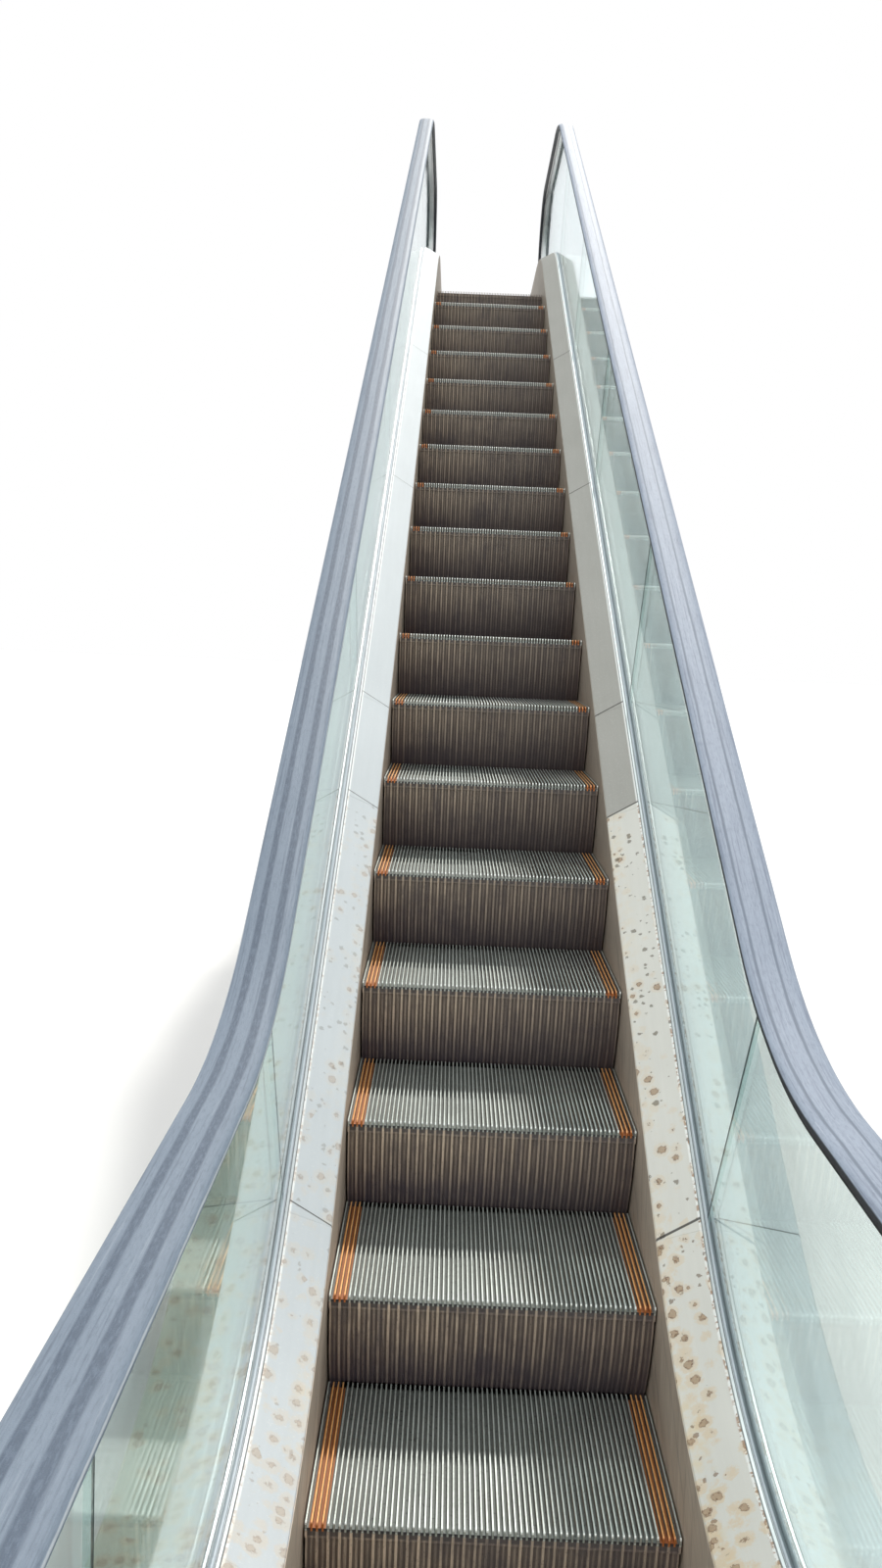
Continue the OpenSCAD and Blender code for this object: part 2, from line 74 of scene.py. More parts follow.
class Value:
    """A socket of a material. Sums and products of values write their own Math nodes."""

    def __init__(self, shader, socket):
        self.shader = shader
        self.socket = socket

    def math(self, operation, *others):
        return self.shader.add("ShaderNodeMath", {"operation": operation}, [self, *others])

    def __add__(self, other):
        return self.math("ADD", other)

    def __sub__(self, other):
        return self.math("SUBTRACT", other)

    def __rsub__(self, other):
        return self.shader.add("ShaderNodeMath", {"operation": "SUBTRACT"}, [other, self])

    def __mul__(self, other):
        return self.math("MULTIPLY", other)

    def __truediv__(self, other):
        return self.math("DIVIDE", other)

    def __rtruediv__(self, other):
        return self.shader.add("ShaderNodeMath", {"operation": "DIVIDE"}, [other, self])

    __radd__ = __add__
    __rmul__ = __mul__


class Shader:
    """The nodes of one material or of the world, and the few kinds of pattern that finishes are made of."""

    def __init__(self, name, kind="materials"):
        self.owner = getattr(bpy.data, kind).new(name)
        self.owner.use_nodes = True
        self.tree = self.owner.node_tree
        self.tree.nodes.clear()

    def add(self, kind, settings, values, out=0):
        """Make a node of that kind, set its settings first, then the values or links of its sockets."""
        node = self.tree.nodes.new(kind)
        for key, setting in settings.items():
            setattr(node, key, setting)
        pairs = values.items() if isinstance(values, dict) else enumerate(values)
        for key, value in pairs:
            if isinstance(value, Value):
                self.tree.links.new(value.socket, node.inputs[key])
            else:
                node.inputs[key].default_value = value
        return None if out is None else Value(self, node.outputs[out])

    def place(self):
        """Object coordinates, which are metres in the frame of the escalator."""
        return self.add("ShaderNodeTexCoord", {}, {}, "Object")

    def parts(self, vector):
        node = self.add("ShaderNodeSeparateXYZ", {}, [vector]).socket.node
        return [Value(self, socket) for socket in node.outputs]

    def join(self, x, y, z):
        return self.add("ShaderNodeCombineXYZ", {}, [x, y, z])

    def normal(self):
        return self.add("ShaderNodeNewGeometry", {}, {}, "Normal")

    def stretch(self, vector, size):
        return self.add("ShaderNodeVectorMath", {"operation": "MULTIPLY"}, [vector, size])

    def noise(self, vector, scale, detail=2.0, roughness=0.5):
        values = {"Vector": vector, "Scale": scale, "Detail": detail, "Roughness": roughness}
        return self.add("ShaderNodeTexNoise", {}, values)

    def spots(self, vector, scale):
        """Distance to the nearest of a scatter of points, and a random number of that point."""
        node = self.add("ShaderNodeTexVoronoi", {}, {"Vector": vector, "Scale": scale}).socket.node
        return Value(self, node.outputs["Distance"]), self.parts(Value(self, node.outputs["Color"]))[0]

    def band(self, value, middle, half, soft):
        """1 within half of the middle, falling off softly to 0."""
        return 1 - self.step((value - middle).math("ABSOLUTE"), half, half + soft)

    def step(self, value, low, high):
        """0 under low, 1 over high and a soft step between them."""
        settings = {"interpolation_type": "SMOOTHSTEP"}
        return self.add("ShaderNodeMapRange", settings, {"Value": value, "From Min": low, "From Max": high})

    def blend(self, factor, first, second):
        def colour(value):
            return value if isinstance(value, Value) else (*value, 1)
        return self.add("ShaderNodeMix", {"data_type": "RGBA"},
                        {0: factor, 6: colour(first), 7: colour(second)}, 2)

    def bump(self, height, distance, strength=1.0):
        values = {"Height": height, "Distance": distance, "Strength": strength}
        return self.add("ShaderNodeBump", {}, values)

    def surface(self, **values):
        """Finish the material as one Principled surface. A name's underscores stand for spaces."""
        sockets = {}
        for key, value in values.items():
            key = key.replace("_", " ")
            sockets[key] = (*value, 1) if isinstance(value, tuple) else value
        shown = self.add("ShaderNodeBsdfPrincipled", {}, sockets)
        return self.finish(shown)

    def finish(self, shown, output="ShaderNodeOutputMaterial"):
        self.add(output, {}, {"Surface": shown}, None)
        return self.owner


def step_metal():
    """Cleated die casting: worn bright cleat tops, grooves dark with dirt and painted shade, three orange
    cleats by each outer one, and brown risers with painted highlights on their ridges, darkened towards the
    foot by dirt and painted shade, and with painted shade towards the right and farther up the climb."""
    s = Shader("step_casting")
    place = s.place()
    x, y, z = s.parts(place)
    up = s.parts(s.normal())[2]
    across = x.math("ABSOLUTE")
    flat = s.step(up, 0.8, 0.95)
    near = ((x / CLEAT + 0.5).math("FRACT") - 0.5).math("ABSOLUTE")
    top = 1 - s.step(near, 0.15, 0.2)
    # how far a point lies below the line of the nosings
    drop = STEP_BOTTOM + y * SLOPE - z
    grime = s.noise(place, 9.0, 5.0, 0.6)
    fine = s.noise(place, 160.0, 3.0, 0.6)
    specks = s.step(s.noise(place, 420.0, 2.0), 0.62, 0.7)
    streak = s.noise(s.stretch(place, (230, 10, 10)), 1.0, 4.0, 0.65)
    runs = s.noise(s.stretch(place, (60, 5, 5)), 1.0, 4.0, 0.6)
    wear = s.step(grime * 0.6 + fine * 0.4, 0.32, 0.6)
    bright = s.blend(wear, (0.38, 0.415, 0.385), (0.57, 0.615, 0.575))
    bright = s.blend(specks * 0.6, bright, (0.2, 0.19, 0.17))
    # dark grooves between the cleats: dirt and painted shade in the recesses
    groove_dirt_and_shade = s.blend(grime, (0.1, 0.112, 0.106), (0.25, 0.275, 0.255))
    groove_dirt_and_shade = s.blend(s.step(s.noise(place, 210.0, 3.0, 0.6), 0.6, 0.66) * 0.7, groove_dirt_and_shade, (0.04, 0.042, 0.045))
    tread = s.blend(top, groove_dirt_and_shade, bright)
    worn = s.step(fine * 0.5 + grime * 0.5, 0.38, 0.62)
    orange_top = s.blend(worn, (0.75, 0.35, 0.11), (0.92, 0.5, 0.19))
    # the orange cleats' grooves are dark brown: dirt and painted shade in the recesses
    orange = s.blend(top, (0.42, 0.15, 0.05), s.blend(specks * 0.5, orange_top, (0.4, 0.15, 0.06)))
    marked = s.band(across, ORANGE_X, ORANGE_HALF, 0.0006)
    tread = s.blend(marked, tread, orange)
    # the risers are brown grey, paler on the ridges as a painted highlight with painted shade between them,
    # darker in the middle and purple at the foot, where dirt and painted shade are mixed
    pair = x / (2 * CLEAT)
    proud = 1 - s.step((pair.math("FRACT") - 0.5).math("ABSOLUTE"), 0.1, 0.16)
    lesser = 1 - s.step(((pair + 0.5).math("FRACT") - 0.5).math("ABSOLUTE"), 0.1, 0.16)
    # teeth under the nosing: a painted highlight where they turn down and at the long tips, red on the
    # marked cleats, painted shade nearly black between them
    tip_highlight = (1 - s.step(drop, 0.002, 0.0035)) + s.band(drop, 0.0128, 0.0018, 0.001) * proud
    tooth = s.blend(tip_highlight, s.blend(fine, (0.3, 0.31, 0.28), (0.56, 0.58, 0.53)), (0.84, 0.86, 0.82))
    tooth = s.blend(marked, tooth, s.blend(tip_highlight, (0.6, 0.2, 0.06), (0.88, 0.42, 0.19)))
    # painted shade on the face between the teeth
    teeth = s.blend(top, (0.035, 0.033, 0.034), tooth)
    lower = s.step(drop + grime * 0.06, 0.07, 0.27)
    # painted highlight on the ridges and painted shade between them, with random streaks in the tone
    ridge_shading_and_streaks = proud * 0.75 + lesser * 0.3 + (streak - 0.5) * 1.3
    riser = s.blend(s.step(ridge_shading_and_streaks, -0.1, 1.0), (0.14, 0.107, 0.084), (0.68, 0.53, 0.4))
    riser = s.blend(s.step(grime * 0.5 + runs * 0.5, 0.46, 0.66) * 0.75, riser, (0.1, 0.08, 0.078))
    # darker and purple towards the foot: dirt together with painted shade low on the riser
    riser = s.blend(lower * 0.72, riser, (0.07, 0.053, 0.083))
    # painted shade in a band under the nosing teeth, between the ridges
    riser = s.blend((1 - s.step(drop, 0.023, 0.026)) * (1 - proud) * 0.8, riser, (0.05, 0.042, 0.042))
    # painted shade over the right side of each riser
    riser = s.blend(s.step(x, -0.3, 0.35) * 0.55, riser, (0.085, 0.07, 0.073))
    # painted shade on the risers farther up the climb
    riser = s.blend(s.step(y, 0.5, 2.4) * 0.38, riser, (0.07, 0.054, 0.046))
    riser = s.blend(specks * 0.7, riser, (0.04, 0.035, 0.04))
    under_teeth = s.step(drop, TEETH_END, TEETH_END + 0.0017)
    upright = s.blend(under_teeth, teeth, riser)
    colour = s.blend(flat, upright, tread)
    shine = flat * top * (1 - marked * 0.7)
    glint = (1 - flat) * (1 - under_teeth) * top
    return s.surface(Base_Color=colour, Metallic=shine * 0.4 + glint * 0.6,
                     Roughness=0.62 - shine * 0.2 - glint * 0.3 + fine * 0.1,
                     Normal=s.bump(fine * 0.5 + streak * 0.5, 0.0006, 0.5))


def deck_metal(name, upper, lower, rust, gap):
    """Painted sheet. The upper and the lower lengths have a pair of colours each, with scratches, a worn
    pale edge along the glass and dark lines at the joints, each gap metres to both sides. The lower
    lengths have rust: brown rings with tan middles and yellow stains, mostly low down and along the
    skirt, and small dark marks between."""
    s = Shader(name)
    place = s.place()
    x, y, _ = s.parts(place)
    across = x.math("ABSOLUTE")
    cloud = s.noise(place, 3.0, 4.0, 0.55)
    fine = s.noise(place, 260.0, 3.0, 0.6)
    scratch = s.noise(s.stretch(place, (30, 400, 400)), 1.0, 2.0, 0.5)
    along = s.noise(s.stretch(place, (90, 4, 4)), 1.0, 4.0, 0.6)
    wander = s.noise(place, 170.0, 4.0, 0.7) - 0.5
    drift = s.noise(place, 45.0, 3.0, 0.6) - 0.5
    where = s.noise(place, 6.0, 2.0)
    low = (1 - s.step(y, RUST_END - 0.01, RUST_END + 0.01)) * rust
    foot = 1 - s.step(y, 0.0, 1.2)
    skirt_side = 1 - s.step(across, 0.315, 0.35)
    distance, chance = s.spots(place, 33.0)
    size = chance - 0.8 + where * 0.6 + foot * 0.34 + skirt_side * 0.42
    size = size.math("MINIMUM", 0.38) * 0.72
    out = distance + wander * 0.62 + drift * 0.4
    inside = 1 - s.step(out - size, -0.05, 0.0)
    line = s.band(out - size, -0.012, 0.015, 0.035) * s.step(size, 0.0, 0.06)
    line = line * s.step(wander + 0.5, 0.3, 0.6)
    stain = (1 - s.step(out - size * 1.6, 0.0, 0.22)) * s.step(size, -0.05, 0.1)
    small, luck = s.spots(place, 60.0)
    grain = small + wander * 0.9 + drift * 0.5
    reach = (luck - 0.86 + where * 0.5 + skirt_side * 0.12 - foot * 0.18) * 0.8
    marks = 1 - s.step(grain - reach, 0.0, 0.06)
    rim = s.step(across, 0.3765, 0.3795) * (1 - s.step(across, 0.383, 0.3835))
    chips = s.step(s.noise(place, 75.0, 4.0, 0.7), 0.5, 0.58)
    mixed = cloud * 0.6 + along * 0.4
    above = s.step(y, RUST_END - 0.005, RUST_END + 0.005)
    # the upper lengths take the upper pair; where that pair is darker, as on the right deck, it is painted
    # shade
    paint = s.blend(above, s.blend(mixed, *lower), s.blend(mixed, *upper))
    paint = s.blend(s.step(scratch, 0.6, 0.75) * 0.35, paint, (0.74, 0.73, 0.7))
    paint = s.blend(rim * 0.8, paint, (0.9, 0.89, 0.87))
    yellow = s.step(cloud * 0.5 + drift * 0.5, 0.2, 0.4) * skirt_side * (0.22 + foot * 0.4)
    colour = s.blend(yellow * low, paint, (0.72, 0.55, 0.3))
    colour = s.blend(stain * low * (0.2 + foot * 0.33), colour, (0.7, 0.5, 0.28))
    colour = s.blend(inside * low * 0.75, colour, s.blend(fine, (0.28, 0.18, 0.11), (0.52, 0.365, 0.24)))
    colour = s.blend(line * low * (0.6 + fine * 0.6), colour, (0.17, 0.08, 0.045))
    brown = s.blend(foot, (0.16, 0.13, 0.095), (0.26, 0.15, 0.09))
    colour = s.blend(marks * low * 0.68, colour, brown)
    colour = s.blend(rim * chips * low * 0.8, colour, (0.36, 0.2, 0.11))
    joint = 0
    for at in DECK_JOINTS:
        joint = joint + s.band(y, at, gap, 0.0012)
    colour = s.blend(joint * 0.9, colour, (0.06, 0.055, 0.05))
    rough = (inside + marks) * low
    return s.surface(Base_Color=colour, Metallic=0.1, Specular_IOR_Level=0.25,
                     Roughness=0.52 + rough * 0.3 + fine * 0.12,
                     Normal=s.bump(rough * 0.6 + fine * 0.2 + scratch * 0.1, 0.0006, 0.6))


def skirt_metal():
    """Brown grey skirt sheet with long upright scuffs from shoes, scraped dark along the steps, and with
    painted shade that darkens it farther up the climb."""
    s = Shader("skirt_sheet")
    place = s.place()
    x, y, z = s.parts(place)
    cloud = s.noise(place, 4.0, 5.0, 0.6)
    climb = y.math("MAXIMUM", 0.0).math("MINIMUM", RUN) * SLOPE
    upright = s.noise(s.stretch(s.join(x, y - z * 0.15, z), (1, 70, 5)), 1.0, 4.0, 0.6)
    along = s.noise(s.stretch(s.join(x, y, z - climb), (1, 3, 60)), 1.0, 4.0, 0.6)
    fine = s.noise(place, 240.0, 2.0)
    colour = s.blend(cloud, (0.47, 0.385, 0.31), (0.7, 0.58, 0.48))
    colour = s.blend(s.step(upright, 0.5, 0.75) * 0.6, colour, (0.7, 0.6, 0.51))
    colour = s.blend(s.step(upright * -1.0, -0.45, -0.3) * 0.4, colour, (0.25, 0.185, 0.155))
    colour = s.blend(s.step(along, 0.52, 0.75) * 0.55, colour, (0.22, 0.175, 0.15))
    # painted shade on the skirt farther up the climb
    colour = s.blend(s.step(y, 0.4, 2.2) * 0.45, colour, (0.2, 0.165, 0.14))
    return s.surface(Base_Color=colour, Metallic=0.3, Roughness=0.45 + fine * 0.15,
                     Normal=s.bump(along * 0.5 + fine * 0.3, 0.0005, 0.5))


def channel_metal():
    """Dull extrusion with a blue grey rubber lip on each side of the glass."""
    s = Shader("channel_extrusion")
    place = s.place()
    side = (s.parts(place)[0].math("ABSOLUTE") - GLASS_X).math("ABSOLUTE")
    fine = s.noise(s.stretch(place, (300, 8, 300)), 1.0, 3.0)
    wear = s.noise(place, 12.0, 5.0, 0.6)
    lip = 1 - s.step(side, 0.0088, 0.0095)
    slot = s.band(side, 0.0103, 0.0004, 0.0003) + s.band(side, 0.0178, 0.0004, 0.0005)
    colour = s.blend(fine, (0.5, 0.52, 0.53), (0.68, 0.7, 0.71))
    colour = s.blend(lip, colour, s.blend(wear, (0.38, 0.42, 0.46), (0.58, 0.62, 0.66)))
    colour = s.blend(slot, colour, (0.1, 0.11, 0.12))
    return s.surface(Base_Color=colour, Metallic=(1 - lip) * 0.5, Roughness=0.35 + lip * 0.2 + fine * 0.1,
                     Normal=s.bump(fine, 0.0003, 0.4))


def glass_panes():
    """Clear green-tinted panes: see-through, glossy at a low angle, with a thin film of dust that was
    wiped along the climb. Each pane's cut edge has a thin dark line at its inner corner."""
    s = Shader("pane_glass")
    place = s.place()
    x, y, z = s.parts(place)
    dust = s.noise(place, 4.0, 5.0, 0.6)
    wipe = s.noise(s.stretch(s.join(x, y, z - y * SLOPE), (1, 1.2, 14)), 1.0, 4.0, 0.6)
    film = s.step(dust * 0.4 + wipe * 0.6, 0.4, 0.75)
    edge = 1 - s.step(s.parts(s.normal())[0].math("ABSOLUTE"), 0.3, 0.7)
    line = edge * (1 - s.step(x.math("ABSOLUTE"), GLASS_CORNER, GLASS_CORNER + 0.0007))
    clear = s.add("ShaderNodeBsdfTransparent", {}, {"Color": (0.93, 0.985, 0.98, 1)})
    colour = s.blend(film, (0.84, 0.95, 0.97), (0.9, 0.98, 1.0))
    colour = s.blend(edge, colour, (0.5, 0.66, 0.63))
    colour = s.blend(line, colour, (0.05, 0.07, 0.07))
    shine = s.add("ShaderNodeBsdfPrincipled", {},
                  {"Base Color": colour, "Metallic": 0.9 - edge * 0.9, "Roughness": 0.02 + film * 0.1})
    away = s.add("ShaderNodeLayerWeight", {}, {"Blend": 0.5}, "Facing")
    share = away.math("POWER", 5.0) * (0.9 - edge * 0.9) + film * 0.12 + 0.08 + edge * 0.12 + line * 0.8
    return s.finish(s.add("ShaderNodeMixShader", {}, [share.math("MINIMUM", 1.0), clear, shine]))


def handrail_rubber():
    """Weathered rubber. u runs round the section and v along the loop, in metres. Two dark mottled bands,
    broad on the left handrail and narrow on the right one, lie between pale worn ones with long scuffs.
    The widest places are rubbed pale, partly a painted highlight, and the lips under them are black; on the
    right handrail the black reaches farther round the inner side, painted shade on that side."""
    s = Shader("worn_handrail")
    place = s.place()
    u, v, _ = s.parts(s.add("ShaderNodeUVMap", {"uv_map": "round_and_along"}, {}))
    side = s.parts(place)[0].math("SIGN")
    left = 0.5 - side * 0.5
    fine = s.noise(place, 520.0, 3.0, 0.65)
    mottle = s.noise(s.join(u * 330, v * 55, 0), 1.0, 4.0, 0.65)
    patch = s.noise(s.join(u * 60, v * 7, 0), 1.0, 5.0, 0.65)
    slow = s.noise(s.join(u * 3, v * 1.3, 0), 1.0, 3.0, 0.5)
    scuff = s.noise(s.join(u * 280, v * 5, 0), 1.0, 4.0, 0.6)
    wander = (patch - 0.5) * 0.005 + (slow - 0.5) * 0.006
    inward = 0 - u * side + wander
    inner = s.band(inward - side * 0.0033, 0.02, 0.001 + left * 0.0033, 0.0025 + left * 0.0015)
    outer = s.band(inward - side * 0.002, -0.0125, 0.001 + left * 0.0025, 0.0025 + left * 0.0015)
    bands = (inner + outer) * (0.72 + s.step(mottle, 0.3, 0.6) * 0.28)
    # pale lines at the widest places: rubbing and a painted highlight
    edge = s.band(inward, 0.0435, 0.0008, 0.0012) * left + s.band(inward, -0.0425, 0.0015, 0.002)
    # black lips; on the right handrail the inner one starts 7 mm sooner, painted shade on that side
    lip = s.step(inward + wander * -0.7, 0.0405 + left * 0.007, 0.0425 + left * 0.007)
    lip = lip + s.step(0 - inward, 0.0465, 0.0485)
    pale = s.blend(fine * 0.3 + patch * 0.7, (0.19, 0.228, 0.295), (0.335, 0.39, 0.47))
    pale = s.blend(s.step(mottle, 0.45, 0.75) * 0.5, pale, (0.13, 0.155, 0.2))
    pale = s.blend(s.step(scuff, 0.52, 0.66) * 0.45, pale, (0.1, 0.115, 0.165))
    pale = s.blend(s.step(scuff, 0.42, 0.3) * 0.4, pale, (0.46, 0.5, 0.57))
    pale = s.blend(left * 0.38, pale, (0.06, 0.1, 0.13))
    dark = s.blend(s.step(mottle, 0.35, 0.65), (0.05, 0.072, 0.108), (0.115, 0.15, 0.2))
    colour = s.blend(bands * (0.8 + left * 0.2), pale, dark)
    colour = s.blend(edge * 0.55, colour, (0.62, 0.64, 0.67))
    colour = s.blend(lip, colour, (0.02, 0.021, 0.027))
    rubbed = s.step(fine * 0.5 + mottle * 0.5, 0.3, 0.7)
    return s.surface(Base_Color=colour, Roughness=0.5 + fine * 0.2 - lip * 0.08, Specular_IOR_Level=0.32,
                     Normal=s.bump(rubbed, 0.0006, 0.5))


def rail_metal():
    """Bright rail under the handrail, brushed along its length."""
    s = Shader("guide_rail")
    place = s.place()
    brush = s.noise(s.stretch(place, (900, 6, 900)), 1.0, 2.0)
    colour = s.blend(brush, (0.5, 0.5, 0.5), (0.72, 0.72, 0.73))
    return s.surface(Base_Color=colour, Metallic=0.9, Roughness=0.24 + brush * 0.12)


def cap_plastic():
    """Black moulded plastic with a fine grain and rubbed patches."""
    s = Shader("cap_moulding")
    place = s.place()
    grain = s.noise(place, 700.0, 2.0)
    rubbed = s.step(s.noise(place, 6.0, 5.0, 0.6), 0.45, 0.8)
    colour = s.blend(rubbed, (0.018, 0.018, 0.02), (0.06, 0.06, 0.065))
    return s.surface(Base_Color=colour, Roughness=0.48 + rubbed * 0.15, Normal=s.bump(grain, 0.0003, 0.5))


def painted_panel(name, first, second, gloss):
    """Plain painted steel sheet with faint clouds, orange peel, runs of dust and rust at its scratches."""
    s = Shader(name)
    place = s.place()
    cloud = s.noise(place, 1.6, 5.0, 0.6)
    peel = s.noise(place, 380.0, 2.0)
    runs = s.step(s.noise(s.stretch(place, (14, 14, 0.8)), 1.0, 4.0, 0.6), 0.55, 0.85)
    scrape = s.step(s.noise(place, 22.0, 6.0, 0.7), 0.66, 0.7)
    colour = s.blend(cloud, first, second)
    colour = s.blend(runs * 0.3, colour, tuple(c * 0.6 for c in first))
    colour = s.blend(scrape * 0.6, colour, (0.2, 0.12, 0.08))
    return s.surface(Base_Color=colour, Metallic=0.2, Roughness=gloss + cloud * 0.12 + scrape * 0.2,
                     Normal=s.bump(peel, 0.0002, 0.3))


def floor_metal():
    """Floor plates: worn bright on the ribs, dark in the grooves, with scratches each way."""
    s = Shader("floor_plates")
    place = s.place()
    _, y, z = s.parts(place)
    wear = s.noise(place, 5.0, 5.0, 0.6)
    scratch = s.noise(s.stretch(place, (240, 20, 20)), 1.0, 3.0)
    cross = s.noise(s.stretch(place, (20, 260, 20)), 1.0, 3.0)
    # height over the landing that the plates lie at
    height = z - s.step(y, 2.0, 2.1) * RISE
    low = 1 - s.step(height, 0.0578, 0.0594)
    colour = s.blend(wear, (0.3, 0.3, 0.29), (0.55, 0.55, 0.54))
    colour = s.blend(s.step(scratch * 0.5 + cross * 0.5, 0.5, 0.7) * 0.5, colour, (0.68, 0.68, 0.66))
    colour = s.blend(low * 0.8, colour, (0.06, 0.055, 0.05))
    return s.surface(Base_Color=colour, Metallic=0.6 - low * 0.4, Roughness=0.36 + wear * 0.2 + low * 0.2,
                     Normal=s.bump(scratch * 0.5 + cross * 0.5, 0.0003, 0.5))


def comb_metal():
    """Cast comb segments with a yellow finish that shoes have rubbed off."""
    s = Shader("comb_casting")
    place = s.place()
    wear = s.noise(place, 30.0, 5.0, 0.65)
    fine = s.noise(place, 500.0, 2.0)
    bare = s.step(wear * 0.7 + fine * 0.3, 0.46, 0.6)
    colour = s.blend(bare, (0.62, 0.42, 0.06), (0.5, 0.5, 0.48))
    return s.surface(Base_Color=colour, Metallic=bare * 0.8, Roughness=0.42 + fine * 0.15,
                     Normal=s.bump(bare * -0.5 + fine * 0.3, 0.0003, 0.5))


finishes = {
    "step_aluminium": step_metal(),
    # the right deck's upper pair is darker than its lower pair: painted shade on the upper lengths
    "deck_steel": deck_metal("right_deck_sheet", ((0.345, 0.33, 0.3), (0.45, 0.43, 0.4)),
                             ((0.61, 0.585, 0.54), (0.78, 0.755, 0.7)), 1.0, 0.0018),
    "skirt_steel": skirt_metal(),
    "channel_aluminium": channel_metal(),
    "glass": glass_panes(),
    "handrail_rubber": handrail_rubber(),
    "guide_steel": rail_metal(),
    "cap_plastic": cap_plastic(),
    "cladding_paint": painted_panel("cladding_panels", (0.42, 0.42, 0.4), (0.5, 0.5, 0.48), 0.35),
    "truss_paint": painted_panel("truss_primer", (0.1, 0.105, 0.11), (0.16, 0.165, 0.17), 0.5),
    "galvanised": painted_panel("sole_sheet", (0.3, 0.31, 0.32), (0.4, 0.41, 0.42), 0.4),
    "frame_steel": painted_panel("frame_edges", (0.45, 0.45, 0.44), (0.58, 0.58, 0.57), 0.3),
    "floor_aluminium": floor_metal(),
    "comb": comb_metal(),
}
for part in frame["record"]["subparts"]:
    mesh = nodes[part["node"]].data
    mesh.materials.clear()
    mesh.materials.append(finishes[part["material_slot"]])
# The deck at the left of a rider going up is less rusted, and its whiter, bluer paint is partly a painted
# reflection of the light on it; the outer decks are whiter and less rusted too. Their joints are thinner
for name, paint, rust in (("inner_deck_left", ((0.48, 0.505, 0.525), (0.61, 0.635, 0.655)), 0.45),
                          ("outer_deck_left", ((0.52, 0.56, 0.46), (0.66, 0.7, 0.58)), 0.7),
                          ("outer_deck_right", ((0.62, 0.66, 0.67), (0.76, 0.8, 0.81)), 0.08)):
    nodes[name].data.materials[0] = deck_metal(name + "_sheet", paint, paint, rust, 0.0006)


def piece(name, points, faces, slot, uv=None, smooth=True):
    """Put an array of points and lists of faces into a mesh that rides with the escalator."""
    mesh = bpy.data.meshes.new(name)
    mesh.from_pydata(points.tolist(), [], faces)
    if uv is not None:
        layer = mesh.uv_layers.new(name="round_and_along")
        layer.data.foreach_set("uv", uv.astype(np.float32).ravel())
    mesh.polygons.foreach_set("use_smooth", np.full(len(mesh.polygons), smooth))
    mesh.materials.append(finishes[slot])
    mesh.update()
    made = bpy.data.objects.new(name, mesh)
    bpy.context.scene.collection.objects.link(made)
    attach(made, "root")
    return made


def nosing(i):
    """Places of the nosings i: level, along the lower arc, up the climb, along the upper arc, level."""
    s = ARC + PITCH * np.asarray(i, float)
    k = BEND * math.tan(TILT / 2)
    a = np.clip(s / ARC, 0, 1) * TILT
    b = np.clip((2 * ARC + CLIMB - s) / ARC, 0, 1) * TILT
    low = np.stack([-k + BEND * np.sin(a), STEP_BOTTOM + BEND * (1 - np.cos(a))])
    high = np.stack([RUN + k - BEND * np.sin(b), STEP_TOP - BEND * (1 - np.cos(b))])
    climb = low + np.clip(s - ARC, 0, CLIMB) * np.array([[math.cos(TILT)], [math.sin(TILT)]])
    before = np.stack([-k + s, np.full_like(s, STEP_BOTTOM)])
    after = np.stack([RUN + k + s - 2 * ARC - CLIMB, np.full_like(s, STEP_TOP)])
    out = np.where(s < 0, before, climb)
    out = np.where(s > ARC + CLIMB, high, out)
    return np.where(s > 2 * ARC + CLIMB, after, out).T


def bend_points(c, r, start, turn, n):
    """Points of an arc and the direction of travel at each, for a turn to the left (+) or right (-)."""
    d = np.radians(start + turn * np.linspace(0, 1, n))
    side = -math.pi / 2 if turn > 0 else math.pi / 2
    e = d + side
    return np.stack([c[0] + r * np.cos(e), c[1] + r * np.sin(e), d], 1)


def handrail_loop():
    """The closed loop of the handrail: two arcs on the climb, two newels and the run back inside."""
    k = RAIL_BEND * math.tan(TILT / 2)
    a = np.array([(RAIL_LEVEL - RAIL_CLIMB) / SLOPE, STEP_BOTTOM + RAIL_LEVEL])
    b = np.array([(RISE + RAIL_LEVEL - RAIL_CLIMB) / SLOPE, STEP_TOP + RAIL_LEVEL])
    ca = a + [-k, RAIL_BEND]
    cb = b + [k, -RAIL_BEND]
    d = 2 * NEWEL
    arcs = [bend_points(ca, RAIL_BEND, 0, 30, 16),
            bend_points(cb, RAIL_BEND, 30, -30, 16),
            bend_points([BASE_HIGH, b[1] - NEWEL], NEWEL, 0, -180, 48),
            bend_points(cb, RAIL_BEND - d, -180, 30, 8),
            bend_points(ca, RAIL_BEND + d, -150, -30, 16),
            bend_points([BASE_LOW, a[1] - NEWEL], NEWEL, -180, -180, 48)]
    return np.concatenate(arcs)


